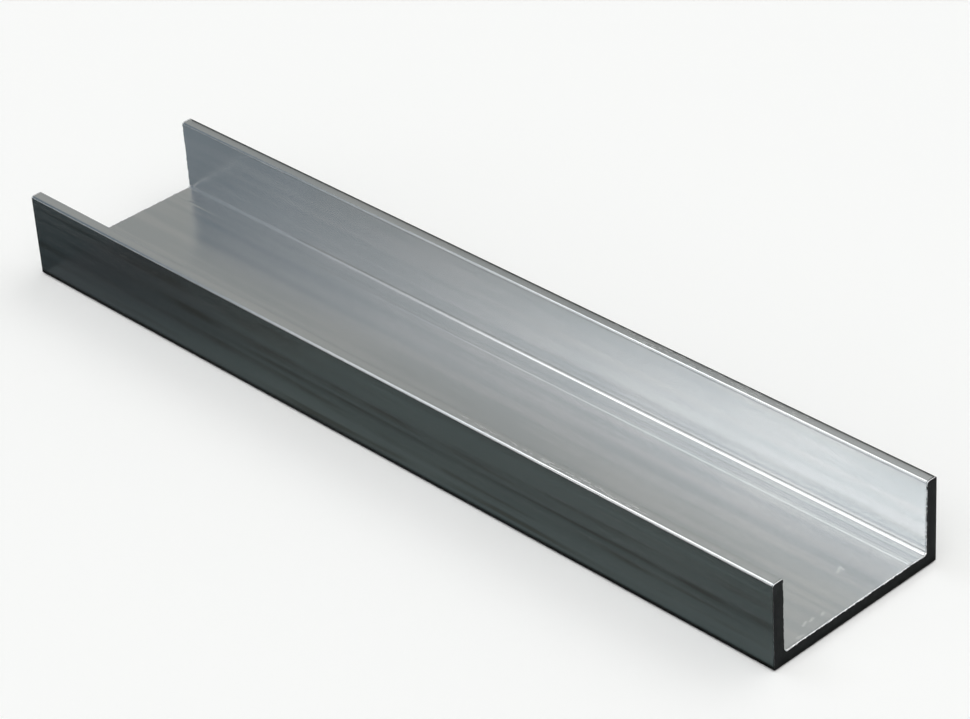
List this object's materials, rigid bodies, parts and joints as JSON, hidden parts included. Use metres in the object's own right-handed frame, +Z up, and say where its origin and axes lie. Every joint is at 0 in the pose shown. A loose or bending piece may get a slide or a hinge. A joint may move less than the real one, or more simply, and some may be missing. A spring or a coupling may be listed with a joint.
{
  "type": "metal channel section",
  "caption": "Straight length of extruded aluminium U channel with parallel flanges, square sawn ends and small root fillets, for framing and brackets.",
  "frame": {"origin": "on the underside of the web, at the middle of its width and of the cut length", "axes": "+X across the section towards one flange, +Y along the stock, +Z up from the web's back through the open side"},
  "size_m": [0.0636, 0.3, 0.027],
  "materials": {
    "mill_aluminium": "satin"
  },
  "bodies": {
    "root": {"channel_section": "mill_aluminium"}
  },
  "joints": []
}
